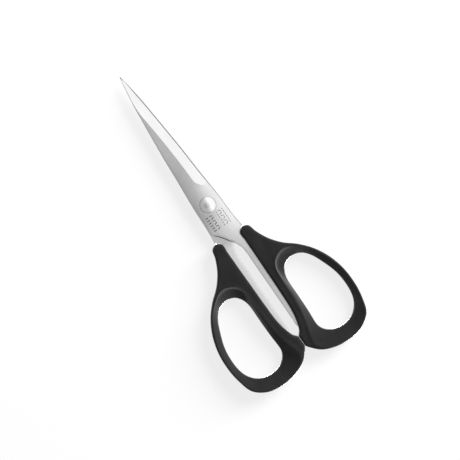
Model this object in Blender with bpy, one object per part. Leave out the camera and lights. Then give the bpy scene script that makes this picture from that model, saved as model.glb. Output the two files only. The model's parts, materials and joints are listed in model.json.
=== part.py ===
"""Fabric shears: two stainless blades crossing at a domed pivot, with soft moulded handles.

The frame's origin is the middle of the bounding box's base. +Y points to the tip, +X to the
front half's handle and +Z to the front, where the domed head is. The shears lie closed on the
undersides of their handles.

Each half is modelled in its own half frame, in millimetres: the origin is on the pivot's axis,
midway between the two blades, +Y points to the tip, the half's own handle is on +X and its
blade on +Z. The rear half is the same design turned half a turn about Y.
"""
import math

import bmesh
import bpy
import numpy as np

MM = 0.001

# Whole shears
LENGTH = 164.5
TIP_Y = 73.8
PIVOT_Y = LENGTH / 2 - TIP_Y
HANDLE_THICKNESS = 11.0
MID_Z = HANDLE_THICKNESS / 2
GAP = 0.3

# Blade and tang, in the half frame
BLADE_FACE_Z = GAP / 2
BLADE_THICKNESS = 1.8
POINT_Y = 58.0
POINT_THICKNESS = 1.55
TIP_THICKNESS = 0.35
EDGE_LAND = 0.35
EDGE_BEVEL = 0.45
EDGE_SETBACK = 0.25
NARROW_BLADE = 2.0
HOLLOW_DEPTH = 0.12
BLADE_TOP_Z = BLADE_FACE_Z + BLADE_THICKNESS

# Y and distance from the centre line, down the spine from the tip to the step
SPINE = (
    (TIP_Y, 0.15), (70.0, 0.9), (66.0, 1.5), (58.0, 2.55), (50.0, 3.3), (38.0, 4.35), (30.0, 5.0),
    (17.0, 5.8), (8.0, 6.45), (0.0, 6.9), (-8.0, 7.15), (-12.8, 7.45), (-17.5, 8.0),
)
# Y and X down the line where the ground bevel meets the flat, round to the bevel's run-out
GRIND_LINE = (
    (TIP_Y, -0.08), (66.0, -1.25), (60.0, -2.0), (54.0, -2.1), (50.0, -1.75), (42.0, -0.95),
    (34.0, -0.3), (30.0, 0.0), (18.0, 0.6), (14.0, 0.7), (12.5, 0.9), (11.5, 1.4), (10.3, 2.2),
    (9.2, 3.2), (8.5, 4.2), (8.0, 5.2),
)
# Y and X down the step and the tang's inner edge, to its bevelled end
TANG_INNER = (
    (-12.8, -7.45), (-13.3, -6.8), (-15.0, -5.0), (-17.5, -3.0), (-20.3, -1.2), (-21.6, -0.1),
    (-24.0, 1.2), (-26.0, 1.9), (-29.0, 2.2), (-33.0, 2.2), (-68.0, 2.2), (-71.2, 2.2), (-73.6, 3.6),
)
TANG_END_Y = -73.6
STEP_Y = -12.8
NECK_Y = -17.5
RUN_OUT_Y = 8.0
RUN_OUT_TOP_Y = 14.0
TIP_STATIONS = 22
RUN_OUT_STATIONS = 10
# Y of the sections through the neck and the tang
FLAT_STATIONS = (
    7.6, 4.0, 0.0, -4.0, -8.0, -12.7, STEP_Y, -13.3, -14.1, -15.0, -16.2, -17.5, -18.8, -20.3, -21.6,
    -22.8, -24.0, -25.0, -26.0, -27.5, -29.0, -33.0, -50.0, -68.0, -71.2, -72.4, TANG_END_Y,
)
# Where a flat section's two extra top points lie, as shares of its width
FLAT_SHARES = (0.85, 0.93)

# Pivot hardware
SIDES = 48
HEAD_RADIUS = 4.0
HEAD_RIM = 0.5
HEAD_DOME = 1.2
DOME_RINGS = 6
SHANK_RADIUS = 2.5
SHANK_FLAT = 2.1
THREAD_RADIUS = 1.6
WASHER_RADIUS = 3.9
WASHER_THICKNESS = 0.4
WASHER_CONE = 0.12
NUT_RADIUS = 4.2
NUT_THICKNESS = 1.7
NUT_CHAMFER = 0.25
SLOT_WIDTH = 1.1
SLOT_DEPTH = 0.7
NUT_FRONT_Z = -(BLADE_TOP_Z + GAP + WASHER_THICKNESS + WASHER_CONE + GAP)
NUT_BACK_Z = NUT_FRONT_Z - NUT_THICKNESS

# Handle: one row for each section, clockwise round the finger loop seen from the front. A row
# gives X and Y of the loop's edge, the rim's crest and the outer edge.
HANDLE_SECTIONS = (
    ((11.0, -56.0), (9.3, -54.0), (4.65, -54.0)),
    ((11.1, -50.0), (9.4, -47.0), (4.8, -43.0)),
    ((11.9, -47.3), (9.8, -43.2), (4.95, -33.0)),
    ((12.9, -45.5), (10.7, -41.3), (5.05, -24.0)),
    ((13.9, -44.2), (11.8, -40.1), (5.25, -19.0)),
    ((14.9, -43.5), (13.2, -39.1), (7.7, -17.5)),
    ((15.8, -43.1), (14.6, -38.4), (10.1, -18.5)),
    ((16.8, -42.8), (16.0, -38.0), (11.7, -23.0)),
    ((18.2, -42.5), (17.6, -37.7), (14.7, -29.1)),
    ((20.6, -42.6), (20.3, -38.4), (18.9, -34.4)),
    ((24.1, -44.0), (24.3, -41.1), (24.6, -39.3)),
    ((27.2, -48.0), (28.5, -45.6), (29.7, -45.2)),
    ((29.8, -54.0), (31.9, -52.4), (33.4, -52.0)),
    ((32.1, -60.5), (34.5, -60.0), (35.8, -60.0)),
    ((32.75, -68.0), (35.2, -69.0), (36.5, -69.0)),
    ((31.7, -76.0), (34.5, -77.5), (35.5, -77.5)),
    ((28.0, -80.9), (32.0, -84.5), (32.9, -85.0)),
    ((24.0, -82.8), (27.0, -88.3), (27.3, -89.2)),
    ((19.5, -83.2), (19.5, -89.8), (19.5, -90.7)),
    ((15.3, -82.2), (11.9, -88.9), (11.6, -89.8)),
    ((12.9, -80.5), (7.0, -86.8), (5.0, -86.9)),
    ((11.7, -79.1), (4.9, -84.2), (2.2, -84.1)),
    ((11.1, -78.0), (4.75, -82.2), (0.15, -81.2)),
    ((10.75, -77.0), (5.2, -80.0), (0.15, -78.5)),
    ((10.5, -75.5), (5.9, -77.2), (0.15, -75.9)),
    ((10.55, -73.5), (6.9, -73.8), (1.6, -74.0)),
    ((10.75, -70.5), (7.8, -70.3), (3.1, -70.0)),
    ((10.95, -65.0), (8.6, -65.0), (4.15, -64.5)),
)
HEEL_X = GAP / 2
LIP_Z = 1.3
EDGE_Z = 4.3
SHOULDER = 0.8
GRIP_STEPS = 3
GRIP_WALL = 0.9
CORE_STEPS = 2
CORE_OUTER_Z = 3.5
CORE_COVER = 1.3

SMOOTH_ANGLE = 35.0

GRIP_COLOUR = (0.025, 0.026, 0.027, 1.0)
CORE_COLOUR = (0.05, 0.05, 0.055, 1.0)
STEEL_COLOUR = (0.62, 0.63, 0.64, 1.0)
HARDWARE_COLOUR = (0.72, 0.73, 0.74, 1.0)


def clear_scene():
    for item in list(bpy.data.objects):
        bpy.data.objects.remove(item, do_unlink=True)


def make_material(name, colour, roughness, metallic):
    material = bpy.data.materials.new(name)
    material.use_nodes = True
    shader = material.node_tree.nodes["Principled BSDF"]
    shader.inputs["Base Color"].default_value = colour
    shader.inputs["Roughness"].default_value = roughness
    shader.inputs["Metallic"].default_value = metallic
    material.diffuse_color = colour
    return material


def make_pivot_frame(name, turned):
    """An empty on the pivot's axis, midway between the blades; the rear one is turned about Y."""
    frame = bpy.data.objects.new(name, None)
    bpy.context.scene.collection.objects.link(frame)
    frame.location = (0.0, PIVOT_Y * MM, MID_Z * MM)
    frame.rotation_euler = (0.0, math.pi if turned else 0.0, 0.0)
    return frame


def make_object(name, rings, parent, closed=False, material=None):
    """A solid lofted through rings of points, capped at both ends or closed on itself."""
    mesh = bpy.data.meshes.new(name)
    builder = bmesh.new()
    layers = [[builder.verts.new([value * MM for value in point]) for point in ring] for ring in rings]
    following = layers[1:] + ([layers[0]] if closed else [])
    for ring, next_ring in zip(layers, following):
        for corner in range(len(ring)):
            after = (corner + 1) % len(ring)
            builder.faces.new((ring[corner], ring[after], next_ring[after], next_ring[corner]))
    if not closed:
        builder.faces.new(list(reversed(layers[0])))
        builder.faces.new(layers[-1])
    bmesh.ops.recalc_face_normals(builder, faces=builder.faces)
    builder.to_mesh(mesh)
    builder.free()
    item = bpy.data.objects.new(name, mesh)
    bpy.context.scene.collection.objects.link(item)
    item.parent = parent
    if material:
        mesh.materials.append(material)
    return item


def shade_smooth(item, angle_deg):
    item.data.shade_smooth()
    item.data.set_sharp_from_angle(angle=math.radians(angle_deg))


def cut(item, name, rings, closed=False):
    """Take the solid lofted through the rings out of the item."""
    cutter = make_object(name, rings, item.parent, closed)
    cutter.hide_render = True
    cutter.display_type = "WIRE"
    modifier = item.modifiers.new(name, "BOOLEAN")
    modifier.operation = "DIFFERENCE"
    modifier.solver = "EXACT"
    modifier.object = cutter


def hermite(time, start, end, start_tangent, end_tangent):
    """The cubic from start to end; the tangents are already scaled by the span."""
    return (
        (2 * time**3 - 3 * time**2 + 1) * start
        + (time**3 - 2 * time**2 + time) * start_tangent
        + (3 * time**2 - 2 * time**3) * end
        + (time**3 - time**2) * end_tangent
    )


def smooth_loop(points, steps):
    """A closed smooth curve through the points, with the same number of samples on each span."""
    points = np.array(points)
    after = np.roll(points, -1, axis=0)
    spans = np.linalg.norm(after - points, axis=1)[:, None]
    slopes = (after - points) / spans
    past_spans = np.roll(spans, 1, axis=0)
    past_slopes = np.roll(slopes, 1, axis=0)
    tangents = (slopes * past_spans + past_slopes * spans) / (spans + past_spans)
    next_tangents = np.roll(tangents, -1, axis=0)
    samples = [
        hermite(step / steps, points, after, spans * tangents, spans * next_tangents)
        for step in range(steps)
    ]
    return np.stack(samples, axis=1).reshape(-1, 2)


def curve_value(table, height):
    """X at one height on the smooth curve through the table's points, given from top to bottom."""
    heights, values = np.array(table).T
    spans = np.diff(heights)
    slopes = np.diff(values) / spans
    middle = (slopes[:-1] * spans[1:] + slopes[1:] * spans[:-1]) / (spans[1:] + spans[:-1])
    tangents = np.concatenate((slopes[:1], middle, slopes[-1:]))
    index = min(max(np.searchsorted(-heights, -height) - 1, 0), len(spans) - 1)
    span = spans[index]
    time = (height - heights[index]) / span
    return hermite(
        time, values[index], values[index + 1], span * tangents[index], span * tangents[index + 1]
    )


def inset(outline, distance):
    """A clockwise outline moved by the distance to its right, towards the middle of the loop."""
    along = np.roll(outline, -1, axis=0) - np.roll(outline, 1, axis=0)
    along /= np.linalg.norm(along, axis=1)[:, None]
    return outline + distance * np.column_stack((along[:, 1], -along[:, 0]))


def circle(radius, height, flat=None):
    """A ring of points round the pivot, cut to two flats at X = plus and minus flat."""
    reach = flat or radius
    turns = [math.tau * side / SIDES for side in range(SIDES)]
    return [
        (min(max(radius * math.cos(turn), -reach), reach), radius * math.sin(turn), height)
        for turn in turns
    ]


def turned(profile):
    """Rings of a solid with a hole, from its (radius, height) profile turned round the pivot."""
    turns = [math.tau * side / SIDES for side in range(SIDES)]
    return [
        [(radius * math.cos(turn), radius * math.sin(turn), height) for radius, height in profile]
        for turn in turns
    ]


def spine_x(y):
    return curve_value(SPINE, max(y, NECK_Y))


def left_x(y):
    """The spine down to the step, then the step and the tang's inner edge."""
    return -spine_x(y) if y > STEP_Y else curve_value(TANG_INNER, y)


def right_x(y):
    """The cutting edge just inside the other blade's spine, then the neck and the tang."""
    setback = EDGE_SETBACK * min(max(y / RUN_OUT_Y, 0.0), 1.0) * narrowing(y)
    return spine_x(y) - setback


def narrowing(y):
    """How much the edge's bevel shrinks where the blade is narrow."""
    return min(spine_x(y) / NARROW_BLADE, 1.0)


def bevelled_section(y):
    """Section through the ground part of the blade, from the spine over the bevel to the edge.

    The blade thins slowly up to POINT_Y and fast above it, and the bevel's lower side rises in
    the run-out, so that the bevel keeps its angle.
    """
    thicknesses = (BLADE_THICKNESS, POINT_THICKNESS, TIP_THICKNESS)
    top = BLADE_FACE_Z + np.interp(y, (RUN_OUT_TOP_Y, POINT_Y, TIP_Y), thicknesses)
    grind = curve_value(GRIND_LINE, y)
    full_grind = curve_value(GRIND_LINE, max(y, RUN_OUT_TOP_Y))
    land_x = right_x(y) - EDGE_BEVEL * narrowing(y)
    full_drop = top - BLADE_FACE_Z - EDGE_LAND * narrowing(y)
    land_z = top - full_drop * (land_x - grind) / (land_x - full_grind)
    middle = (right_x(y) + left_x(y)) / 2
    hollow = HOLLOW_DEPTH * narrowing(y) * min((y - RUN_OUT_Y) / RUN_OUT_Y, 1.0)
    return (
        (left_x(y), y, BLADE_FACE_Z), (left_x(y), y, top), (grind, y, top),
        ((grind + land_x) / 2, y, (top + land_z) / 2), (land_x, y, land_z),
        (right_x(y), y, BLADE_FACE_Z), (middle, y, BLADE_FACE_Z + hollow),
    )


def flat_section(y, clearance=0.0):
    """Section through the neck and tang, a rectangle grown by the clearance."""
    low = BLADE_FACE_Z - clearance
    high = BLADE_TOP_Z + clearance
    left = left_x(y) - clearance
    right = right_x(y) + clearance
    near, far = (left + (right - left) * share for share in FLAT_SHARES)
    return (
        (left, y, low), (left, y, high), (near, y, high), (far, y, high), (right, y, high),
        (right, y, low), ((left + right) / 2, y, low),
    )


def blade_rings():
    """Sections from the tip to the end of the tang."""
    ground = np.linspace(TIP_Y, RUN_OUT_TOP_Y, TIP_STATIONS, endpoint=False)
    run_out = np.linspace(RUN_OUT_TOP_Y, RUN_OUT_Y, RUN_OUT_STATIONS)
    bevelled = [bevelled_section(y) for y in (*ground, *run_out)]
    return bevelled + [flat_section(y) for y in FLAT_STATIONS]


def tang_slot_rings():
    """The room for the tang in the handle."""
    heights = [y for y in FLAT_STATIONS if STEP_Y > y > TANG_END_Y]
    sections = [flat_section(y, GAP) for y in heights]
    end = [(x, TANG_END_Y - GAP, z) for x, y, z in flat_section(TANG_END_Y, GAP)]
    return [*sections, end]


def handle_outlines(steps):
    """The loop's edge, the rim's crest and the outer edge, sampled in step with each other."""
    loop, crest, outer = (
        smooth_loop([row[column] for row in HANDLE_SECTIONS], steps) for column in range(3)
    )
    outer[:, 0] = np.maximum(outer[:, 0], HEEL_X)
    return loop, crest, outer


def grip_rings():
    """Sections of the handle's outer surface, one for each sample round the finger loop."""
    loop, crest, outer = handle_outlines(GRIP_STEPS)
    width = np.linalg.norm(crest - outer, axis=1)[:, None]
    shoulder = outer + (crest - outer) * np.minimum(SHOULDER / width, 0.5)
    rings = []
    for section in zip(loop, crest, shoulder, outer):
        heights = (LIP_Z, HANDLE_THICKNESS / 2, HANDLE_THICKNESS / 2, EDGE_Z)
        upper = [(*point, height) for point, height in zip(section, heights)]
        rings.append(upper + [(x, y, -z) for x, y, z in reversed(upper)])
    return rings


def core_rings(slack=0.0):
    """Sections of the stiff core inside the handle, grown by the slack for its cavity."""
    loop, crest, outer = handle_outlines(CORE_STEPS)
    slope_width = np.linalg.norm(crest - loop, axis=1)
    inner = inset(loop, -GRIP_WALL - GAP + slack)
    rim = inset(outer, GRIP_WALL + GAP - slack)
    upper = []
    for share in (0.0, 0.5, 1.0):
        line = inner + (rim - inner) * share
        run = np.linalg.norm(line - loop, axis=1) + slack * (1.0 - 2.0 * share)
        surface = LIP_Z + (HANDLE_THICKNESS / 2 - LIP_Z) * np.minimum(run / slope_width, 1.0)
        upper.append(np.column_stack((line, np.minimum(surface - CORE_COVER, CORE_OUTER_Z) + slack)))
    lower = [line * (1.0, 1.0, -1.0) for line in reversed(upper)]
    return list(zip(*upper, *lower))


def make_half(prefix, turned_over, materials):
    """One blade with its grip and the grip's core, on an empty at the pivot."""
    frame = make_pivot_frame(prefix + "_half", turned_over)
    blade = make_object(prefix + "_blade", blade_rings(), frame, material=materials["steel"])
    key = None if turned_over else SHANK_FLAT + GAP
    hole = [circle(SHANK_RADIUS + GAP, height, key) for height in (-BLADE_THICKNESS, 2 * BLADE_TOP_Z)]
    cut(blade, prefix + "_pivot_hole", hole)
    core = make_object(prefix + "_handle_core", core_rings(), frame, True, materials["core"])
    grip = make_object(prefix + "_grip", grip_rings(), frame, True, materials["grip"])
    cut(grip, prefix + "_core_cavity", core_rings(GAP), closed=True)
    cut(grip, prefix + "_grip_slot", tang_slot_rings())
    cut(core, prefix + "_core_slot", tang_slot_rings())
    shade_smooth(grip, SMOOTH_ANGLE)
    shade_smooth(core, SMOOTH_ANGLE)
    return frame


def make_stud(frame, material):
    """The pivot: a thread at the back, a shank keyed to the front blade and a domed head."""
    head_z = BLADE_TOP_Z + GAP
    rings = [
        circle(THREAD_RADIUS, NUT_BACK_Z + SLOT_DEPTH + GAP),
        circle(THREAD_RADIUS, -BLADE_TOP_Z),
        circle(SHANK_RADIUS, -BLADE_TOP_Z),
        circle(SHANK_RADIUS, 0.0),
        circle(SHANK_RADIUS, 0.0, SHANK_FLAT),
        circle(SHANK_RADIUS, head_z, SHANK_FLAT),
        circle(HEAD_RADIUS - HEAD_RIM / 2, head_z),
        circle(HEAD_RADIUS, head_z + HEAD_RIM / 2),
    ]
    for ring in range(DOME_RINGS):
        turn = math.pi / 2 * ring / DOME_RINGS
        rings.append(circle(HEAD_RADIUS * math.cos(turn), head_z + HEAD_RIM + HEAD_DOME * math.sin(turn)))
    stud = make_object("pivot_stud", rings, frame, material=material)
    shade_smooth(stud, SMOOTH_ANGLE)


def make_washer(frame, material):
    """A slightly coned spring washer on the back of the rear blade."""
    low = BLADE_TOP_Z + GAP
    bore = THREAD_RADIUS + GAP
    profile = (
        (bore, low + WASHER_CONE), (WASHER_RADIUS, low),
        (WASHER_RADIUS, low + WASHER_THICKNESS), (bore, low + WASHER_THICKNESS + WASHER_CONE),
    )
    washer = make_object("spring_washer", turned(profile), frame, True, material)
    shade_smooth(washer, SMOOTH_ANGLE)


def make_nut(frame, material):
    """The round nut with a screwdriver slot across its back."""
    bore = THREAD_RADIUS + GAP
    profile = (
        (bore, NUT_FRONT_Z), (NUT_RADIUS, NUT_FRONT_Z), (NUT_RADIUS, NUT_BACK_Z + NUT_CHAMFER),
        (NUT_RADIUS - NUT_CHAMFER, NUT_BACK_Z), (bore, NUT_BACK_Z),
    )
    nut = make_object("pivot_nut", turned(profile), frame, True, material)
    half = SLOT_WIDTH / 2
    reach = NUT_RADIUS + 1.0
    outline = ((-reach, -half), (reach, -half), (reach, half), (-reach, half))
    heights = (NUT_BACK_Z - SLOT_DEPTH, NUT_BACK_Z + SLOT_DEPTH)
    cut(nut, "nut_slot", [[(x, y, z) for x, y in outline] for z in heights])
    shade_smooth(nut, SMOOTH_ANGLE)


def main():
    clear_scene()
    materials = {
        "steel": make_material("blade_steel", STEEL_COLOUR, 0.25, 1.0),
        "grip": make_material("grip_elastomer", GRIP_COLOUR, 0.55, 0.0),
        "core": make_material("core_plastic", CORE_COLOUR, 0.5, 0.0),
    }
    hardware = make_material("pivot_steel", HARDWARE_COLOUR, 0.2, 1.0)
    front = make_half("front", False, materials)
    rear = make_half("rear", True, materials)
    make_stud(front, hardware)
    make_nut(front, hardware)
    make_washer(rear, hardware)


main()
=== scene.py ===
"""Fabric shears lying closed on a pale studio floor, seen from straight above.

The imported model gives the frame: the pivot's place, the bodies and the box. The blades, grips
and pivot hardware are finer pieces built here in the same half frame as the design: the origin
is on the pivot's axis midway between the blades, +Y points to the tip, the half's own handle is
on +X and its blade on +Z. The rear half is the same, turned half a turn about Y.
"""

import json
import math

import bmesh
import bpy
import numpy as np
from mathutils import Matrix, Vector

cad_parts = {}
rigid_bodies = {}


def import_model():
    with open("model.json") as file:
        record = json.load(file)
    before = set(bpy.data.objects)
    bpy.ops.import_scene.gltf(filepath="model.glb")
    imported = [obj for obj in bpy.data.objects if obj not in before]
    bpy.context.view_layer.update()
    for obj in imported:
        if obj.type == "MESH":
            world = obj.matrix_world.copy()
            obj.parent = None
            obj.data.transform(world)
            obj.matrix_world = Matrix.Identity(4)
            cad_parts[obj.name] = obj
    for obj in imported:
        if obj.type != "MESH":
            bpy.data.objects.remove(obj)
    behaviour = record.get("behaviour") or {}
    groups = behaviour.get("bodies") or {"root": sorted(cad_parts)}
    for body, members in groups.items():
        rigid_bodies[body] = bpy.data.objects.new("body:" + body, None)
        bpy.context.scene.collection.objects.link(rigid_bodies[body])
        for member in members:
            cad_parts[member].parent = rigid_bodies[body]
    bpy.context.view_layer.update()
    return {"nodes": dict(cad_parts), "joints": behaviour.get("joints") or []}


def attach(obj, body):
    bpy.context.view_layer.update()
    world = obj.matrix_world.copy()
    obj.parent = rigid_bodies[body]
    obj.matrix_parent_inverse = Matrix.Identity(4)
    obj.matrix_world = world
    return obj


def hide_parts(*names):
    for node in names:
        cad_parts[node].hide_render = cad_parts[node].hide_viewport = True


MM = 0.001

# Blade and tang, in millimetres in the half frame
TIP_Y = 73.8
BLADE_FACE_Z = 0.04
BLADE_TOP_Z = 1.95
POINT_Y = 58.0
POINT_TOP_Z = 1.65
TIP_TOP_Z = 0.32
# The crown: its bend per mm, its steepest slope, how much of the bend each Y has, and its middle's X
CROWN_BEND = 0.0062
CROWN_SLOPE = 0.09
CROWN_SHARE_Y = (-32.0, -18.0, -4.0, 8.0, 20.0, 30.0)
CROWN_SHARE = (0.02, 0.38, 1.0, 1.0, 0.6, 0.2)
CROWN_MIDDLE_Y = (-16.0, -6.0, 8.0, 20.0)
CROWN_MIDDLE_X = (-5.5, -2.0, -1.6, 1.8)
CROWN_POINTS = 6
# The edge's chamfer ahead of the run-out and behind it, its fall per mm, the wall below it, and
# how far the edge is set back from the other blade's spine
EDGE_BEVEL = 0.42
NECK_BEVEL = 0.26
EDGE_FALL = 0.72
EDGE_FLAT = 0.03
EDGE_SETBACK = 0.2
NARROW_BLADE = 2.0
HOLLOW_DEPTH = 0.12
# The flat's share of the neck and the tang, and the most that the spine's rounding takes of it
FLAT_SHARE = 0.8
ROUNDING_SHARE = 0.9
# Y and distance from the centre line, down the spine from the tip
SPINE = (
    (TIP_Y, 0.15), (70.0, 0.9), (66.0, 1.5), (58.0, 2.55), (50.0, 3.3), (38.0, 4.35), (30.0, 5.0),
    (17.0, 5.8), (8.0, 6.45), (0.0, 6.9), (-8.0, 7.15), (-12.8, 7.45), (-17.5, 8.0),
)
# Y and X down the line where the ground bevel meets the flat, round to its run-out
GRIND_LINE = (
    (TIP_Y, -0.05), (70.0, -0.6), (66.0, -1.14), (60.0, -1.95), (54.0, -2.1), (50.0, -1.75),
    (42.0, -0.95), (34.0, -0.3), (30.0, 0.0), (18.0, 0.6), (14.0, 0.7), (12.5, 0.9), (11.5, 1.4),
    (10.3, 2.2), (9.2, 3.2), (8.5, 4.2), (8.0, 5.2),
)
# Y and X down the step and the tang's inner edge
TANG_INNER = (
    (-12.8, -7.45), (-13.3, -6.8), (-15.0, -5.0), (-17.5, -3.0), (-20.3, -1.2), (-21.6, -0.1),
    (-24.0, 1.2), (-26.0, 1.9), (-29.0, 2.2), (-33.0, 2.2), (-68.0, 2.2), (-71.2, 2.2), (-73.6, 3.6),
)
TANG_END_Y = -73.6
STEP_Y = -12.8
NECK_Y = -17.5
RUN_OUT_Y = 8.0
RUN_OUT_TOP_Y = 14.0
TANG_TILT = 0.037
TANG_TILT_Y = (-24.0, -20.0)
LOWER_ROUNDING = 0.15
# The rounding along the left side: its stations from the tang over the step and spine to the tip
ROUNDING_Y = (-22.0, -20.8, STEP_Y, STEP_Y + 0.1, 20.0, 66.0, TIP_Y)
ROUNDING_WIDTH = (0.1, 0.8, 0.8, 0.45, 0.45, 0.34, 0.06)
ROUNDING_HEIGHT = (0.1, 0.65, 0.65, 0.45, 0.45, 0.34, 0.06)
# Sewing marks on the neck: X, length, width and lean of each column's stitches
ETCH_DEPTH = 0.05
ETCH_ROWS = 6
ETCH_TOP_Y = -5.2
ETCH_LOW_Y = -12.2
STRAIGHT_STITCHES = ((-4.1, 1.5, 0.5, 0.0), (1.3, 0.95, 0.26, 90.0), (4.5, 0.95, 0.26, 90.0))
ZIGZAG_STITCHES = ((-1.9, 1.45, 0.45, 22.0), (2.9, 1.5, 0.26, 32.0))
ARC_STEPS = 9
EDGE_POINTS = 4
UNDERSIDE_POINTS = 5

# Pivot hardware
SEAT_Z = BLADE_TOP_Z + 0.02
SHANK_RADIUS = 2.5
SHANK_BACK_Z = -2.0
HOLE_RADIUS = 2.6
HOLE_ENDS_Z = (-3.0, 4.0)
THREAD_RADIUS = 1.6
THREAD_BACK_Z = -4.2
THREAD_HOLE = 1.65
HEAD_RADIUS = 4.0
HEAD_RIM = 0.6
HEAD_CHAMFER = 0.15
DOME_EDGE = math.radians(28.0)
DOME_STEPS = 24
WASHER_RADIUS = 3.9
WASHER_THICKNESS = 0.4
WASHER_CONE = 0.12
WASHER_CHAMFER = 0.1
NUT_RADIUS = 4.2
NUT_FRONT_Z = -2.52
NUT_BACK_Z = -4.77
NUT_ROUNDING = 0.35
NUT_CHAMFER = 0.15
NUT_RECESS = 0.3
SLOT_HALF_WIDTH = 0.55
SLOT_DEPTH = 0.7
TURN_SIDES = 144

# Handle: X and Y of the loop's edge, the rim's crest and the outer edge, clockwise round the loop
HANDLE_SECTIONS = (
    ((11.0, -56.0), (9.3, -54.0), (4.65, -54.0)),
    ((11.1, -50.0), (9.4, -47.0), (4.8, -43.0)),
    ((11.9, -47.3), (9.8, -43.2), (4.95, -33.0)),
    ((12.9, -45.5), (10.7, -41.3), (5.05, -24.0)),
    ((13.65, -44.55), (11.8, -40.1), (5.25, -19.0)),
    ((14.4, -43.85), (12.5, -39.6), (7.7, -17.5)),
    ((15.2, -43.35), (12.95, -39.3), (10.1, -18.5)),
    ((16.3, -42.9), (13.8, -38.8), (11.7, -23.0)),
    ((18.0, -42.55), (16.9, -37.85), (14.7, -29.1)),
    ((20.7, -42.65), (20.3, -38.4), (18.9, -34.4)),
    ((24.2, -44.2), (24.3, -41.1), (24.6, -39.3)),
    ((27.35, -48.2), (28.7, -45.5), (29.7, -45.2)),
    ((29.8, -54.0), (32.2, -52.3), (33.4, -52.0)),
    ((32.05, -60.5), (34.85, -60.0), (35.8, -60.0)),
    ((32.75, -68.0), (35.55, -69.0), (36.5, -69.0)),
    ((31.7, -76.0), (34.7, -77.5), (35.5, -77.5)),
    ((28.0, -80.9), (32.0, -84.5), (32.9, -85.0)),
    ((24.0, -82.8), (27.0, -88.3), (27.3, -89.2)),
    ((19.5, -83.2), (19.5, -89.8), (19.5, -90.7)),
    ((15.3, -82.2), (11.9, -88.9), (11.6, -89.8)),
    ((12.9, -80.5), (7.0, -86.8), (5.0, -86.9)),
    ((11.7, -79.1), (4.9, -84.2), (2.2, -84.1)),
    ((11.1, -78.0), (4.75, -82.2), (0.15, -81.2)),
    ((10.75, -77.0), (5.2, -80.0), (0.15, -78.5)),
    ((10.5, -75.5), (5.9, -77.2), (0.15, -75.9)),
    ((10.55, -73.5), (6.9, -73.8), (1.6, -74.0)),
    ((10.75, -70.5), (7.8, -70.3), (3.1, -70.0)),
    ((10.95, -65.0), (8.6, -65.0), (4.15, -64.5)),
)
# The heels' flat is at X 0.15 in the rows above and is brought closer to the other heel
ROW_HEEL_X = 0.15
HEEL_X = 0.04
HANDLE_REACH_X = 36.48
HANDLE_LOW_Y = -90.68
SECTION_STEPS = 8
HALF_HEIGHT = 5.5
LIP_Z = 1.2
SLOPE_POINTS = 9
SLOPE_BULGE = 0.12
# The crest's rounding inside and on the outer rim, which begins and ends at these X
CREST_ROUNDING = 0.7
RIM_ROUNDING = 0.35
RIM_X = (28.0, 34.0)
CREST_POINTS = 6
TOP_POINTS = 10
TOP_DIP = 0.22
TOP_DIP_RUN = 1.6
FILLET_WIDTH = 1.3
FILLET_HEIGHT = 1.7
FILLET_STEPS = 8
# How many samples to each side the lines and the normals are averaged over
NORMAL_REACH = 4
LIP_REACH = 4
CREST_REACH = 2

# Grinding lines of the blades, as cells per metre along X, Y and Z
ACROSS_BLADE = (400.0, 9000.0, 9000.0)
ALONG_BLADE = (9000.0, 400.0, 9000.0)

# Studio, in metres. Each lamp has its name, place, size and power
FLOOR_HALF_SIZE = 3.0
FLOOR_GLOW = 0.82
LAMPS = (
    ("key_softbox", (0.75, 0.15, 0.75), 0.6, 104.0),
    ("low_softbox", (0.94, 0.0, 0.34), 0.5, 85.0),
)
# The sky's level from its left end to its right, then towards the horizon and round a dimmer spot
SKY_ACROSS = (0.99, -0.1, 0.0)
SKY_LEVELS = (
    (0.0, 0.5), (0.2, 0.66), (0.38, 0.72), (0.5, 1.05), (0.575, 1.62), (0.83, 1.5), (1.0, 0.9),
)
HORIZON_RISE = (0.1, 0.75)
HORIZON_LEVEL = 0.15
DIM_PLACE = (-0.15, 0.0, 0.0)
DIM_REACH = (0.03, 0.45)
DIM_LEVEL = 0.52

# Camera: the aim is in millimetres from the pivot, the distance and the view's width in metres
CAMERA_RIGHT = (0.8231, -0.5678, 0.0)
CAMERA_AIM = (1.85, -15.8, 0.0)
CAMERA_DISTANCE = 1.5
VIEW_WIDTH = 0.2187
SENSOR_WIDTH = 36.0


def clear_scene():
    for item in list(bpy.data.objects):
        bpy.data.objects.remove(item, do_unlink=True)


# ---- curves -------------------------------------------------------------------------------

def hermite(time, start, end, start_tangent, end_tangent):
    """The cubic from start to end; the tangents are already scaled by the span."""
    return (
        (2 * time**3 - 3 * time**2 + 1) * start
        + (time**3 - 2 * time**2 + time) * start_tangent
        + (3 * time**2 - 2 * time**3) * end
        + (time**3 - time**2) * end_tangent
    )


def smooth_loop(points, steps):
    """A closed smooth curve through the points, with the same number of samples on each span."""
    points = np.array(points)
    after = np.roll(points, -1, axis=0)
    spans = np.linalg.norm(after - points, axis=1)[:, None]
    slopes = (after - points) / spans
    past_spans = np.roll(spans, 1, axis=0)
    past_slopes = np.roll(slopes, 1, axis=0)
    tangents = (slopes * past_spans + past_slopes * spans) / (spans + past_spans)
    next_tangents = np.roll(tangents, -1, axis=0)
    samples = [
        hermite(step / steps, points, after, spans * tangents, spans * next_tangents)
        for step in range(steps)
    ]
    return np.stack(samples, axis=1).reshape(-1, 2)


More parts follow.
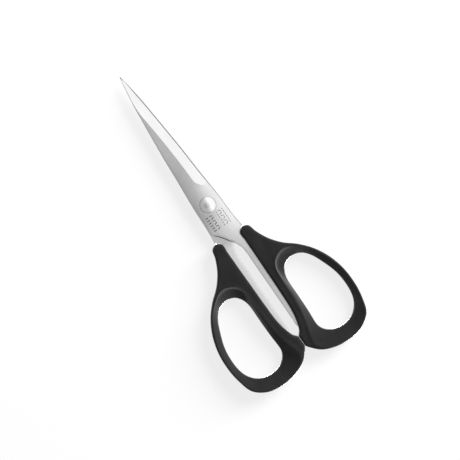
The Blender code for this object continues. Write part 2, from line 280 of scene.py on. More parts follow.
def curve_value(table, height):
    """X at one height on the smooth curve through the table's points, given from top to bottom."""
    heights, values = np.array(table).T
    spans = np.diff(heights)
    slopes = np.diff(values) / spans
    middle = (slopes[:-1] * spans[1:] + slopes[1:] * spans[:-1]) / (spans[1:] + spans[:-1])
    tangents = np.concatenate((slopes[:1], middle, slopes[-1:]))
    index = min(max(np.searchsorted(-heights, -height) - 1, 0), len(spans) - 1)
    span = spans[index]
    time = (height - heights[index]) / span
    return hermite(
        time, values[index], values[index + 1], span * tangents[index], span * tangents[index + 1]
    )


def outline_normals(outline):
    """Unit vectors to the right of a clockwise outline, towards the middle of its loop."""
    along = np.roll(outline, -1, axis=0) - np.roll(outline, 1, axis=0)
    along /= np.linalg.norm(along, axis=1)[:, None]
    return np.column_stack((along[:, 1], -along[:, 0]))


# ---- pieces -------------------------------------------------------------------------------

def half_matrix(turned_over):
    """From the half frame in millimetres to the row frame in metres."""
    turn = Matrix.Rotation(math.pi, 4, "Y") if turned_over else Matrix.Identity(4)
    return Matrix.Translation(PIVOT) @ turn @ Matrix.Scale(MM, 4)


def make_piece(name, rings, materials, matrix, closed=False, strip_material=None):
    """A solid lofted through rings of points, capped at both ends or closed on itself."""
    builder = bmesh.new()
    layers = [[builder.verts.new(matrix @ Vector(point)) for point in ring] for ring in rings]
    following = layers[1:] + ([layers[0]] if closed else [])
    for index, (ring, next_ring) in enumerate(zip(layers, following)):
        for corner in range(len(ring)):
            after = (corner + 1) % len(ring)
            face = builder.faces.new((ring[corner], ring[after], next_ring[after], next_ring[corner]))
            face.material_index = strip_material(index, corner) if strip_material else 0
    if not closed:
        builder.faces.new(list(reversed(layers[0])))
        builder.faces.new(layers[-1])
    bmesh.ops.recalc_face_normals(builder, faces=builder.faces)
    mesh = bpy.data.meshes.new(name)
    builder.to_mesh(mesh)
    builder.free()
    for material in materials:
        mesh.materials.append(material)
    piece = bpy.data.objects.new(name, mesh)
    bpy.context.scene.collection.objects.link(piece)
    return piece


def cut_away(piece, cutter):
    """Take the cutter out of the piece for good; the cut faces take the cutter's material."""
    modifier = piece.modifiers.new("cut", "BOOLEAN")
    modifier.operation = "DIFFERENCE"
    modifier.solver = "EXACT"
    modifier.material_mode = "TRANSFER"
    modifier.object = cutter
    graph = bpy.context.evaluated_depsgraph_get()
    mesh = bpy.data.meshes.new_from_object(piece.evaluated_get(graph))
    piece.modifiers.clear()
    piece.data = mesh
    bpy.data.objects.remove(cutter, do_unlink=True)


def shade(piece, angle_deg):
    piece.data.shade_smooth()
    piece.data.set_sharp_from_angle(angle=math.radians(angle_deg))


def circle(radius, height):
    turns = [math.tau * side / TURN_SIDES for side in range(TURN_SIDES)]
    return [(radius * math.cos(turn), radius * math.sin(turn), height) for turn in turns]


def turned(profile):
    """Rings of a solid with a hole, from its (radius, height) profile turned round the pivot."""
    turns = [math.tau * side / TURN_SIDES for side in range(TURN_SIDES)]
    return [
        [(radius * math.cos(turn), radius * math.sin(turn), height) for radius, height in profile]
        for turn in turns
    ]


# ---- blades -------------------------------------------------------------------------------

def spine_x(y):
    return curve_value(SPINE, max(y, NECK_Y))


def left_x(y):
    """The spine down to the step, then the step and the tang's inner edge."""
    return -spine_x(y) if y > STEP_Y else curve_value(TANG_INNER, y)


def narrowing(y):
    """How much the small features shrink where the blade is narrow."""
    return min(spine_x(y) / NARROW_BLADE, 1.0)


def right_x(y):
    """The cutting edge just inside the other blade's spine, then the neck and the tang."""
    setback = EDGE_SETBACK * min(max(y / RUN_OUT_Y, 0.0), 1.0) * narrowing(y)
    return spine_x(y) - setback


def corner_arc(corner_x, corner_z, width, height, side, up):
    """Points round one rounded corner; side and up are -1 or 1 and point to the corner."""
    points = []
    for step in range(ARC_STEPS):
        turn = math.pi / 2 * step / (ARC_STEPS - 1)
        points.append((
            corner_x - side * width * (1 - math.cos(turn)),
            corner_z - up * height * (1 - math.sin(turn)),
        ))
    return points


def crown_drop(x, y):
    """How far the top falls away on both sides of its crown."""
    bend = CROWN_BEND * np.interp(y, CROWN_SHARE_Y, CROWN_SHARE)
    run = abs(x - np.interp(y, CROWN_MIDDLE_Y, CROWN_MIDDLE_X))
    curved = min(run, CROWN_SLOPE / (2 * bend))
    return bend * curved**2 + CROWN_SLOPE * (run - curved)


def face_lift(x, right, y):
    """The tang's inner face rises a little towards its inner edge."""
    return TANG_TILT * np.interp(y, TANG_TILT_Y, (1.0, 0.0)) * (right - x)


def top_z(y):
    return np.interp(y, (RUN_OUT_TOP_Y, POINT_Y, TIP_Y), (BLADE_TOP_Z, POINT_TOP_Z, TIP_TOP_Z))


def ground_bevel(y, land_x, bevel):
    """Points down the ground bevel, from the flat to the edge's chamfer."""
    grind = curve_value(GRIND_LINE, y)
    full_grind = curve_value(GRIND_LINE, max(y, RUN_OUT_TOP_Y))
    bevel_top = top_z(y) - crown_drop(grind, y)
    full_drop = bevel_top - BLADE_FACE_Z - EDGE_FLAT - EDGE_FALL * bevel
    land_z = bevel_top - full_drop * (land_x - grind) / (land_x - full_grind)
    middle = ((grind + land_x) / 2, (bevel_top + land_z) / 2)
    return [(grind, bevel_top), middle, (land_x, land_z)]


def on_flat(y, *places):
    return [(x, top_z(y) - crown_drop(x, y)) for x in places]


def underside(y, left, right):
    """Points back under the blade, which is ground slightly hollow ahead of the run-out."""
    hollow = HOLLOW_DEPTH * narrowing(y) * min(max(y - RUN_OUT_Y, 0.0) / RUN_OUT_Y, 1.0)
    points = [(right, BLADE_FACE_Z)]
    for share in np.linspace(0.0, 1.0, UNDERSIDE_POINTS + 2)[1:-1]:
        x = right + (left + LOWER_ROUNDING - right) * share
        rise = hollow * 4 * share * (1 - share) + face_lift(x, right, y)
        points.append((x, BLADE_FACE_Z + rise))
    return points


def blade_section(y):
    """Section from the spine over the flat and the bevel to the edge, and back underneath."""
    left = left_x(y)
    right = right_x(y)
    width, height = (np.interp(y, ROUNDING_Y, values) for values in (ROUNDING_WIDTH, ROUNDING_HEIGHT))
    bevel = np.interp(y, (RUN_OUT_Y, RUN_OUT_TOP_Y), (NECK_BEVEL, EDGE_BEVEL)) * narrowing(y)
    land_x = right - bevel
    if y >= RUN_OUT_Y:
        ground = ground_bevel(y, land_x, bevel)
        flat_end = ground[0][0]
        width = min(width, ROUNDING_SHARE * (flat_end - left))
    else:
        flat_end = left + (right - left) * FLAT_SHARE
        ground = on_flat(y, flat_end, (flat_end + land_x) / 2, land_x)
    land_z = ground[-1][1]
    low_z = land_z - EDGE_FALL * bevel
    edge = [
        (land_x + bevel * share, land_z + (low_z - land_z) * share)
        for share in np.linspace(0.0, 1.0, EDGE_POINTS + 1)[1:]
    ]
    start = left + width
    shares = [step / (CROWN_POINTS + 1) for step in range(1, CROWN_POINTS + 1)]
    flat = on_flat(y, *(start + (flat_end - start) * share for share in shares))
    upper_left = corner_arc(left, top_z(y) - crown_drop(start, y), width, height, -1, 1)
    low_width, low_height = (min(size, LOWER_ROUNDING) for size in (width, height))
    face = BLADE_FACE_Z + face_lift(left, right, y)
    lower_left = reversed(corner_arc(left, face, low_width, low_height, -1, -1))
    points = upper_left + flat + ground + edge + underside(y, left, right) + list(lower_left)
    return [(x, y, z) for x, z in points]


def blade_heights():
    """Y of the sections, closer together where the outline turns."""
    return (
        *np.linspace(TIP_Y, RUN_OUT_TOP_Y, 90, endpoint=False),
        *np.linspace(RUN_OUT_TOP_Y, RUN_OUT_Y, 25),
        *np.linspace(7.85, -12.7, 24),
        *np.linspace(STEP_Y, -22.0, 40),
        *np.linspace(-22.3, -30.0, 24),
        *np.linspace(-32.0, -70.0, 20),
        *np.linspace(-71.2, TANG_END_Y, 6),
    )


def make_blade(prefix, turned_over, materials):
    heights = blade_heights()
    ground_start = ARC_STEPS + CROWN_POINTS
    edge_start = ground_start + 2
    edge_end = edge_start + EDGE_POINTS

    def strip_material(index, corner):
        """The satin flat, the ground bevel or the honed edge; behind the run-out all is satin."""
        if heights[index] < RUN_OUT_Y + 0.01 or not ground_start <= corner < edge_end:
            return 0
        return 1 if corner < edge_start else 2

    rings = [blade_section(y) for y in heights]
    matrix = half_matrix(turned_over)
    name = prefix + "_blade_ground"
    blade = make_piece(name, rings, materials, matrix, strip_material=strip_material)
    hole = [circle(HOLE_RADIUS, height) for height in HOLE_ENDS_Z]
    cut_away(blade, make_piece("hole", hole, [materials[0]], matrix))
    if not turned_over:
        cut_away(blade, make_etching(matrix, etched))
    shade(blade, 12.0)
    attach(blade, prefix + "_half")
    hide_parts(prefix + "_blade")


def stroke(builder, matrix, x, y, length, width, turn_deg):
    """A box that cuts one straight groove, with its middle at X and Y of the flat."""
    low = BLADE_TOP_Z - crown_drop(x, y) - ETCH_DEPTH
    place = Matrix.Translation((x, y, low + 0.5)) @ Matrix.Rotation(math.radians(turn_deg), 4, "Z")
    size = Matrix.Diagonal((length, width, 1.0, 1.0))
    bmesh.ops.create_cube(builder, size=1.0, matrix=matrix @ place @ size)


def make_etching(matrix, material):
    """Cutter for plain sewing marks: columns of straight and of zigzag stitches."""
    builder = bmesh.new()
    for row in range(ETCH_ROWS):
        y = ETCH_TOP_Y - (ETCH_TOP_Y - ETCH_LOW_Y) * row / (ETCH_ROWS - 1)
        side = 1.0 if row % 2 else -1.0
        for x, length, width, turn_deg in STRAIGHT_STITCHES:
            stroke(builder, matrix, x, y, length, width, turn_deg)
        for x, length, width, lean_deg in ZIGZAG_STITCHES:
            stroke(builder, matrix, x, y, length, width, lean_deg * side)
    mesh = bpy.data.meshes.new("etching")
    builder.to_mesh(mesh)
    builder.free()
    mesh.materials.append(material)
    cutter = bpy.data.objects.new("etching", mesh)
    bpy.context.scene.collection.objects.link(cutter)
    return cutter


# ---- handles ------------------------------------------------------------------------------

def handle_outlines():
    """The loop's edge, the rim's crest and the outer edge, sampled in step with each other."""
    loop, crest, outer = (
        smooth_loop([row[column] for row in HANDLE_SECTIONS], SECTION_STEPS) for column in range(3)
    )
    outer[:, 0] = np.clip(outer[:, 0], ROW_HEEL_X, HANDLE_REACH_X)
    outer[:, 0] = np.where(outer[:, 0] < ROW_HEEL_X + 0.01, HEEL_X, outer[:, 0])
    outer[:, 1] = np.maximum(outer[:, 1], HANDLE_LOW_Y)
    return loop, crest, outer


def slope_lines(loop, crest, slope_end):
    """From the loop's lip up the inner slope, which bulges slightly."""
    low = np.zeros(len(loop))
    lines = [(loop, low, 0.0), (loop + 0.02 * (crest - loop), low + LIP_Z * 0.7, 0.0)]
    for share in np.linspace(0.05, 1.0, SLOPE_POINTS):
        part = share * slope_end
        bulge = SLOPE_BULGE * 4 * share * (1 - share)
        height = LIP_Z + (HALF_HEIGHT - LIP_Z) * part + bulge
        # The third value is the painted highlight's weight, which rises only close to the crest.
        lines.append((loop + (crest - loop) * part[:, None], height, 0.25 * share**6))
    return lines


def crest_lines(before, before_height, crest, after):
    """Round the crest, from the slope's last line to the first one on the top."""
    lines = []
    for time in np.linspace(0.0, 1.0, CREST_POINTS + 1)[1:]:
        weights = ((1 - time) ** 2, 2 * time * (1 - time), time**2)
        line = weights[0] * before + weights[1] * crest + weights[2] * after
        height = weights[0] * before_height + (weights[1] + weights[2]) * HALF_HEIGHT
        # The third value is the painted highlight's weight, strongest midway round the crest's rounding.
        lines.append((line, height, math.exp(-((time - 0.55) / 0.35) ** 2)))
    return lines


def top_lines(crest, shoulder, span, top_start):
    """Over the top, which dips a little behind the crest where it is wide."""
    lines = []
    wide = np.minimum(span / 4.0, 1.0)
    for step in range(1, TOP_POINTS + 1):
        share = top_start + (1.0 - top_start) * (step / TOP_POINTS) ** 2
        sink = np.clip((share - top_start) * span / TOP_DIP_RUN, 0.0, 1.0)
        dip = TOP_DIP * wide * sink**2 * (3 - 2 * sink)
        lines.append((crest + (shoulder - crest) * share[:, None], HALF_HEIGHT - dip, 0.0))
    return lines


def fillet_lines(outer, inward, edge_height):
    """Round the outer edge, from the top down to the side wall."""
    lines = []
    for step in range(1, FILLET_STEPS + 1):
        turn = math.pi / 2 * step / FILLET_STEPS
        height = edge_height - FILLET_HEIGHT * (1 - math.cos(turn))
        lines.append((outer + inward * (1 - math.sin(turn)), height, 0.0))
    return lines


def grip_lines():
    """Closed lines round the handle, from the loop's lip over the crest to the outer wall.

    Each line comes with its height and with the weight of the painted highlight on it, which is strongest
    on the crest.
    """
    loop, crest, outer = handle_outlines()
    loop = eased(loop, LIP_REACH)
    crest = eased(crest, CREST_REACH)
    reach = np.linalg.norm(outer[:, None] - crest[None], axis=2).min(axis=1)
    inward = spread_out(outline_normals(outer)) * np.minimum(FILLET_WIDTH, 0.8 * reach)[:, None]
    shoulder = outer + inward
    rounding = np.interp(crest[:, 0], RIM_X, (CREST_ROUNDING, RIM_ROUNDING))
    slope_length = np.hypot(np.linalg.norm(crest - loop, axis=1), HALF_HEIGHT - LIP_Z)
    span = np.linalg.norm(shoulder - crest, axis=1)
    top_start = np.minimum(rounding / span, 0.5)
    after = crest + (shoulder - crest) * top_start[:, None]

    lines = slope_lines(loop, crest, 1.0 - rounding / slope_length)
    lines += crest_lines(*lines[-1][:2], crest, after)
    lines += top_lines(crest, shoulder, span, top_start)
    return lines + fillet_lines(outer, inward, lines[-1][1])


def eased(rows, reach):
    """The mean of each row and its neighbours, which evens out a closed line."""
    shifts = range(-reach, reach + 1)
    return sum(np.roll(rows, shift, axis=0) for shift in shifts) / len(shifts)


def spread_out(normals):
    """Normals that turn gradually past a corner, so that lines set in from it don't cross."""
    near = eased(normals, NORMAL_REACH)
    return near / np.linalg.norm(near, axis=1)[:, None]


def crest_highlight_share(x, y):
    """Where the painted highlight lies on the crest: most over the top of the loop, less down its inner
    side.
    """
    over_top = np.interp(y, (-60.0, -44.0), (0.0, 1.0)) * np.interp(x, (21.0, 30.0), (1.0, 0.0))
    inner = np.interp(x, (12.0, 16.0), (1.0, 0.0)) * np.interp(y, (-86.0, -70.0), (0.0, 1.0))
    return max(over_top, 0.15 * inner)


def make_grip(prefix, turned_over, material):
    lines = grip_lines()
    upper = [np.column_stack((line, height)) for line, height, _ in lines]
    lower = [line * (1.0, 1.0, -1.0) for line in reversed(upper[1:])]
    rings = list(zip(*upper, *lower))
    matrix = half_matrix(turned_over)
    grip = make_piece(prefix + "_grip_skin", rings, [material], matrix, closed=True)
    # Painted highlight along the crest: each point's weight, which lightens the elastomer's colour there.
    painted_highlights = [painted_highlight for _, _, painted_highlight in lines]
    painted_highlights += list(reversed(painted_highlights[1:]))
    values = [painted_highlight * crest_highlight_share(*point[:2]) for ring in rings for painted_highlight, point in zip(painted_highlights, ring)]
    grip.data.attributes.new("painted_highlight", "FLOAT", "POINT").data.foreach_set("value", values)
    shade(grip, 40.0)
    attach(grip, prefix + "_half")
    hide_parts(prefix + "_grip")


# ---- pivot --------------------------------------------------------------------------------

def set_origin(piece):
    """Put the piece's origin on the pivot, so that turned finishes run round it."""
    piece.data.transform(Matrix.Translation(-PIVOT))
    piece.location = PIVOT


def make_stud(material):
    """The domed head with a small chamfer under its rim, the shank and the thread's plain end."""
    rim_z = SEAT_Z + HEAD_RIM
    rings = [
        circle(THREAD_RADIUS, THREAD_BACK_Z), circle(THREAD_RADIUS, SHANK_BACK_Z),
        circle(SHANK_RADIUS, SHANK_BACK_Z), circle(SHANK_RADIUS, SEAT_Z),
        circle(HEAD_RADIUS - HEAD_CHAMFER, SEAT_Z), circle(HEAD_RADIUS, SEAT_Z + HEAD_CHAMFER),
        circle(HEAD_RADIUS, rim_z), circle(HEAD_RADIUS - 0.04, rim_z + 0.08),
    ]
    dome_radius = HEAD_RADIUS / math.sin(DOME_EDGE)
    for turn in np.linspace(DOME_EDGE * 0.97, 0.01, DOME_STEPS):
        rise = dome_radius * (math.cos(turn) - math.cos(DOME_EDGE))
        rings.append(circle(dome_radius * math.sin(turn), rim_z + 0.1 + rise))
    stud = make_piece("domed_pivot_head", rings, [material], half_matrix(False))
    set_origin(stud)
    shade(stud, 30.0)
    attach(stud, "front_half")
    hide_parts("pivot_stud")


def make_washer(material):
    """The spring washer on the back of the rear blade, slightly coned and with chamfered rims."""
    high = SEAT_Z + WASHER_THICKNESS
    shoulder = WASHER_RADIUS - WASHER_CHAMFER
    profile = [
        (THREAD_HOLE, SEAT_Z + WASHER_CONE), (shoulder, SEAT_Z),
        (WASHER_RADIUS, SEAT_Z + WASHER_CHAMFER), (WASHER_RADIUS, high - WASHER_CHAMFER),
        (shoulder, high), (THREAD_HOLE, high + WASHER_CONE),
    ]
    matrix = half_matrix(True)
    washer = make_piece("coned_spring_washer", turned(profile), [material], matrix, closed=True)
    set_origin(washer)
    shade(washer, 30.0)
    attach(washer, "rear_half")
    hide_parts("spring_washer")


def make_nut(material):
    """The round nut at the back, with a countersunk hole, a rounded rim and a driver's slot."""
    matrix = half_matrix(False)
    edge = NUT_RADIUS - NUT_ROUNDING
    rim = [
        (edge + NUT_ROUNDING * math.sin(turn), NUT_BACK_Z + NUT_ROUNDING * (1 - math.cos(turn)))
        for turn in np.linspace(0.0, math.pi / 2, 8)
    ]
    profile = [
        (THREAD_HOLE, NUT_FRONT_Z), (NUT_RADIUS - NUT_CHAMFER, NUT_FRONT_Z),
        (NUT_RADIUS, NUT_FRONT_Z - NUT_CHAMFER), *reversed(rim),
        (THREAD_HOLE + NUT_RECESS, NUT_BACK_Z), (THREAD_HOLE, NUT_BACK_Z + NUT_RECESS),
    ]
    nut = make_piece("slotted_pivot_nut", turned(profile), [material], matrix, closed=True)
    reach = NUT_RADIUS + 1.0
    half = SLOT_HALF_WIDTH
    outline = [(-reach, -half), (reach, -half), (reach, half), (-reach, half)]
    heights = (NUT_BACK_Z - SLOT_DEPTH, NUT_BACK_Z + SLOT_DEPTH)
    slot = [[(x, y, z) for x, y in outline] for z in heights]
    cut_away(nut, make_piece("slot", slot, [material], matrix))
    set_origin(nut)
    shade(nut, 30.0)
    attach(nut, "tension_nut")
    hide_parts("pivot_nut")


# ---- materials ----------------------------------------------------------------------------

def add_node(tree, kind, values=None, **settings):
    item = tree.nodes.new(kind)
    for key, value in settings.items():
        setattr(item, key, value)
    for key, value in (values or {}).items():
        item.inputs[key].default_value = value
    return item


def grey(level):
    return (level, level, level, 1.0)


def new_material(name, colour, roughness, metallic):
    material = bpy.data.materials.new(name)
    material.use_nodes = True
    shader = material.node_tree.nodes["Principled BSDF"]
    shader.inputs["Base Color"].default_value = colour
    shader.inputs["Roughness"].default_value = roughness
    shader.inputs["Metallic"].default_value = metallic
    return material, material.node_tree, shader


def own_space(tree, scale):
    """The piece's own coordinates, in metres, stretched by the scale."""
    place = add_node(tree, "ShaderNodeTexCoord")
    stretch = add_node(tree, "ShaderNodeMapping", {"Scale": scale})
    tree.links.new(place.outputs["Object"], stretch.inputs["Vector"])
    return stretch.outputs["Vector"]


def add_noise(tree, scale, detail=3.0):
    """Noise with about scale cells per metre along each axis of the piece's own space."""
    noise = add_node(tree, "ShaderNodeTexNoise", {"Scale": 1.0, "Detail": detail, "Roughness": 0.6})
    tree.links.new(own_space(tree, scale), noise.inputs["Vector"])
    return noise.outputs["Fac"]


def spread(tree, value, low, high):
    """The middle of a noise's range, spread over low to high."""
    settings = {"From Min": 0.3, "From Max": 0.7, "To Min": low, "To Max": high}
    ranged = add_node(tree, "ShaderNodeMapRange", settings)
    tree.links.new(value, ranged.inputs["Value"])
    return ranged.outputs["Result"]


def mix_colours(tree, factor, first, second):
    """Each colour is a value or another node's output."""
    mix = add_node(tree, "ShaderNodeMix", data_type="RGBA")
    tree.links.new(factor, mix.inputs["Factor"])
    for socket, colour in ((mix.inputs["A"], first), (mix.inputs["B"], second)):
        if isinstance(colour, bpy.types.NodeSocket):
            tree.links.new(colour, socket)
        else:
            socket.default_value = colour
    return mix.outputs["Result"]


def add_bumps(tree, shader, *layers):
    """Bump maps on top of each other, each from a height, its depth in metres and its strength."""
    normal = None
    for height, depth, strength in layers:
        bump = add_node(tree, "ShaderNodeBump", {"Distance": depth, "Strength": strength})
        tree.links.new(height, bump.inputs["Height"])
        if normal:
            tree.links.new(normal, bump.inputs["Normal"])
        normal = bump.outputs["Normal"]
    tree.links.new(normal, shader.inputs["Normal"])


def steel_material(name, colours, grain, roughness_range, strength):
    """Brushed steel: fine grain lines, sparse longer scratches and slow changes of tone."""
    material, tree, shader = new_material(name, colours[0], 0.25, 1.0)
    lines = add_noise(tree, grain)
    scratches = add_noise(tree, [value * 0.35 for value in grain], 1.0)
    tone = add_noise(tree, (150.0, 60.0, 150.0), 2.0)
    tree.links.new(mix_colours(tree, spread(tree, tone, 0.0, 1.0), *colours), shader.inputs["Base Color"])
    tree.links.new(spread(tree, lines, *roughness_range), shader.inputs["Roughness"])
    add_bumps(tree, shader, (lines, 0.000004, strength), (scratches, 0.000008, strength * 0.6))
    return material


def turned_material():
    """Polished steel turned on a lathe, with fine rings round the pivot."""
    material, tree, shader = new_material("turned_pivot_steel", (0.64, 0.643, 0.64, 1.0), 0.2, 1.0)
    shader.inputs["Anisotropic"].default_value = 0.5
    round_axis = add_node(tree, "ShaderNodeTangent", direction_type="RADIAL", axis="Z")
    tree.links.new(round_axis.outputs["Tangent"], shader.inputs["Tangent"])
    radius = add_node(tree, "ShaderNodeVectorMath", operation="LENGTH")
    flat = own_space(tree, (9000.0, 9000.0, 0.0))
    tree.links.new(flat, radius.inputs[0])
    rings = add_node(tree, "ShaderNodeTexNoise", {"Scale": 1.0, "Detail": 2.0}, noise_dimensions="1D")
    tree.links.new(radius.outputs["Value"], rings.inputs["W"])
    centre = smooth_step(tree, radius.outputs["Value"], (0.0, 14.0), (0.22, 0.0))
    rough = add_node(tree, "ShaderNodeMath", operation="ADD")
    tree.links.new(spread(tree, rings.outputs["Fac"], 0.14, 0.24), rough.inputs[0])
    tree.links.new(centre, rough.inputs[1])
    tree.links.new(rough.outputs["Value"], shader.inputs["Roughness"])
    add_bumps(tree, shader, (rings.outputs["Fac"], 0.000003, 0.3))
    return material


def etched_material():
    """The dull dark floor of the etched marks, finely pitted."""
    material, tree, shader = new_material("etched_marks", (0.022, 0.022, 0.023, 1.0), 0.6, 0.5)
    pits = add_noise(tree, (14000.0, 14000.0, 14000.0))
    tree.links.new(spread(tree, pits, 0.5, 0.75), shader.inputs["Roughness"])
    add_bumps(tree, shader, (pits, 0.00001, 0.4))
    return material


def elastomer_material():
    """Soft black elastomer with a fine moulded grain, with a painted highlight lightening its crest,
    which is also a little smoother.
    """
    material, tree, shader = new_material("black_elastomer", grey(0.0019), 0.6, 0.0)
    shader.inputs["Specular IOR Level"].default_value = 0.05
    shader.inputs["Sheen Weight"].default_value = 0.65
    shader.inputs["Sheen Roughness"].default_value = 0.3
    grain = add_noise(tree, (5000.0, 5000.0, 5000.0), 2.0)
    flow = add_noise(tree, (180.0, 90.0, 180.0), 3.0)
    # Painted highlight: the crest's weight from the mesh, made patchy by the grain, lightens the colour
    # and lowers the roughness.
    painted_highlight = add_node(tree, "ShaderNodeAttribute", attribute_type="GEOMETRY", attribute_name="painted_highlight")
    patchy = add_node(tree, "ShaderNodeMath", operation="MULTIPLY")
    tree.links.new(painted_highlight.outputs["Fac"], patchy.inputs[0])
    tree.links.new(spread(tree, grain, 0.75, 1.0), patchy.inputs[1])
    plain = mix_colours(tree, spread(tree, flow, 0.0, 1.0), grey(0.0015), grey(0.0023))
    # Painted highlight: where the weight is high, the near-black colour gives way to a lighter grey.
    colour = mix_colours(tree, patchy.outputs["Value"], plain, grey(0.014))
    tree.links.new(colour, shader.inputs["Base Color"])
    rough = add_node(tree, "ShaderNodeMath", {1: -0.1, 2: 0.5}, operation="MULTIPLY_ADD")
    tree.links.new(patchy.outputs["Value"], rough.inputs[0])
    tree.links.new(rough.outputs["Value"], shader.inputs["Roughness"])
    add_bumps(tree, shader, (grain, 0.00003, 0.25), (flow, 0.0001, 0.1))
    return material


def nylon_material():
    """The core's stiff black nylon, slightly mottled by its glass fibres."""
    material, tree, shader = new_material("black_nylon", (0.004, 0.004, 0.0045, 1.0), 0.5, 0.0)
    fibres = add_noise(tree, (3000.0, 600.0, 3000.0))
    dark, light = (0.003, 0.003, 0.0035, 1.0), (0.006, 0.006, 0.0065, 1.0)
    colour = mix_colours(tree, spread(tree, fibres, 0.0, 1.0), dark, light)
    tree.links.new(colour, shader.inputs["Base Color"])
    tree.links.new(spread(tree, fibres, 0.4, 0.6), shader.inputs["Roughness"])
    add_bumps(tree, shader, (fibres, 0.00002, 0.3))
    return material


def floor_material():
    """White acrylic of a light table, lit from below, so that shadows on it stay faint."""
    material, tree, shader = new_material("pale_floor", grey(0.023), 0.9, 0.0)
    shader.inputs["Specular IOR Level"].default_value = 0.0
    shader.inputs["Emission Color"].default_value = grey(1.0)
    shader.inputs["Emission Strength"].default_value = FLOOR_GLOW
    texture = add_noise(tree, (300.0, 300.0, 300.0))
    add_bumps(tree, shader, (texture, 0.00005, 0.05))
    return material


# ---- studio -------------------------------------------------------------------------------

def make_floor():
    mesh = bpy.data.meshes.new("studio_floor")
    builder = bmesh.new()
    bmesh.ops.create_grid(builder, x_segments=1, y_segments=1, size=FLOOR_HALF_SIZE)
    builder.to_mesh(mesh)
    builder.free()
    mesh.materials.append(floor_material())
    floor = bpy.data.objects.new("studio_floor", mesh)
    bpy.context.scene.collection.objects.link(floor)


def make_lamp(name, place, size, power):
    """A large soft lamp to the right, for the floor and the grips; it leaves no mirror image."""
    data = bpy.data.lights.new(name, "AREA")
    data.shape = "DISK"
    data.size = size
    data.energy = power
    lamp = bpy.data.objects.new(name, data)
    lamp.location = place
    lamp.rotation_euler = Vector(place).to_track_quat("Z", "Y").to_euler()
    lamp.visible_camera = False
    lamp.visible_glossy = False
    bpy.context.scene.collection.objects.link(lamp)


def smooth_step(tree, value, ends, levels):
    """A smooth change between two levels as the value goes from one end to the other."""
    settings = dict(zip(("From Min", "From Max", "To Min", "To Max"), (*ends, *levels)))
    step = add_node(tree, "ShaderNodeMapRange", settings, interpolation_type="SMOOTHSTEP")
    tree.links.new(value, step.inputs["Value"])
    return step.outputs["Result"]


def level_across(tree, direction):
    """The sky's level from one side to the other, as a grey colour."""
    across = add_node(tree, "ShaderNodeVectorMath", {1: SKY_ACROSS}, operation="DOT_PRODUCT")
    tree.links.new(direction, across.inputs[0])
    place = add_node(tree, "ShaderNodeMapRange", {"From Min": -1.0, "From Max": 1.0})
    tree.links.new(across.outputs["Value"], place.inputs["Value"])
    ramp = add_node(tree, "ShaderNodeValToRGB")
    ramp.color_ramp.interpolation = "EASE"
    elements = ramp.color_ramp.elements
    elements.remove(elements[1])
    for index, (position, level) in enumerate(SKY_LEVELS):
        element = elements.new(position) if index else elements[0]
        element.position = position
        element.color = grey(level)
    tree.links.new(place.outputs["Result"], ramp.inputs["Fac"])
    return ramp.outputs["Color"]


def level_upward(tree, direction):
    """How bright the sky is at each height, times how dim it is round the spot overhead."""
    parts = add_node(tree, "ShaderNodeSeparateXYZ")
    tree.links.new(direction, parts.inputs["Vector"])
    horizon = smooth_step(tree, parts.outputs["Z"], HORIZON_RISE, (HORIZON_LEVEL, 1.0))
    level = add_node(tree, "ShaderNodeVectorMath", {1: (1.0, 1.0, 0.0)}, operation="MULTIPLY")
    tree.links.new(direction, level.inputs[0])
    apart = add_node(tree, "ShaderNodeVectorMath", {1: DIM_PLACE}, operation="DISTANCE")
    tree.links.new(level.outputs["Vector"], apart.inputs[0])
    overhead = smooth_step(tree, apart.outputs["Value"], DIM_REACH, (DIM_LEVEL, 1.0))
    strength = add_node(tree, "ShaderNodeMath", operation="MULTIPLY")
    tree.links.new(horizon, strength.inputs[0])
    tree.links.new(overhead, strength.inputs[1])
    return strength.outputs["Value"]


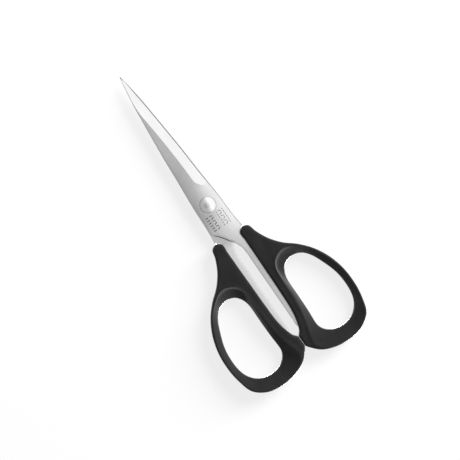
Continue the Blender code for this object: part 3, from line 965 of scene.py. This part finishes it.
def make_sky():
    """Soft light all round: brightest from the right, dimmer overhead and dark near the horizon."""
    world = bpy.data.worlds.new("studio")
    world.use_nodes = True
    tree = world.node_tree
    direction = add_node(tree, "ShaderNodeTexCoord").outputs["Generated"]
    background = tree.nodes["Background"]
    tree.links.new(level_across(tree, direction), background.inputs["Color"])
    tree.links.new(level_upward(tree, direction), background.inputs["Strength"])
    bpy.context.scene.world = world


def make_studio():
    make_sky()
    for lamp in LAMPS:
        make_lamp(*lamp)
    bpy.context.scene.view_settings.view_transform = "Standard"


def make_camera():
    """Straight above, turned so that the tip points to the upper left."""
    right = Vector(CAMERA_RIGHT).normalized()
    up = Vector((-right.y, right.x, 0.0))
    back = right.cross(up)
    aim = PIVOT + Vector(CAMERA_AIM) * MM
    data = bpy.data.cameras.new("camera")
    data.sensor_width = SENSOR_WIDTH
    data.lens = SENSOR_WIDTH * CAMERA_DISTANCE / VIEW_WIDTH
    data.clip_start = 0.01
    camera = bpy.data.objects.new("camera", data)
    rotation = Matrix((right, up, back)).transposed().to_4x4()
    camera.matrix_world = Matrix.Translation(aim + back * CAMERA_DISTANCE) @ rotation
    bpy.context.scene.collection.objects.link(camera)
    bpy.context.scene.camera = camera


clear_scene()
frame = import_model()
PIVOT = Vector(next(joint["pos_m"] for joint in frame["joints"] if joint["name"] == "blade_pivot"))

satin_colours = ((0.6, 0.605, 0.6, 1.0), (0.65, 0.655, 0.65, 1.0))
ground_colours = ((0.59, 0.594, 0.59, 1.0), (0.63, 0.634, 0.63, 1.0))
honed_colours = ((0.68, 0.685, 0.68, 1.0), (0.72, 0.725, 0.72, 1.0))
satin = steel_material("satin_flat", satin_colours, ACROSS_BLADE, (0.17, 0.25), 0.4)
ground = steel_material("ground_bevel", ground_colours, ACROSS_BLADE, (0.15, 0.25), 0.3)
honed = steel_material("honed_edge", honed_colours, ALONG_BLADE, (0.12, 0.2), 0.3)
etched = etched_material()
turned_steel = turned_material()
elastomer = elastomer_material()
nylon = nylon_material()

for prefix, turned_over in (("front", False), ("rear", True)):
    make_blade(prefix, turned_over, [satin, ground, honed])
    make_grip(prefix, turned_over, elastomer)
    frame["nodes"][prefix + "_handle_core"].data.materials[0] = nylon
make_stud(turned_steel)
make_washer(turned_steel)
make_nut(turned_steel)

make_floor()
make_studio()
make_camera()
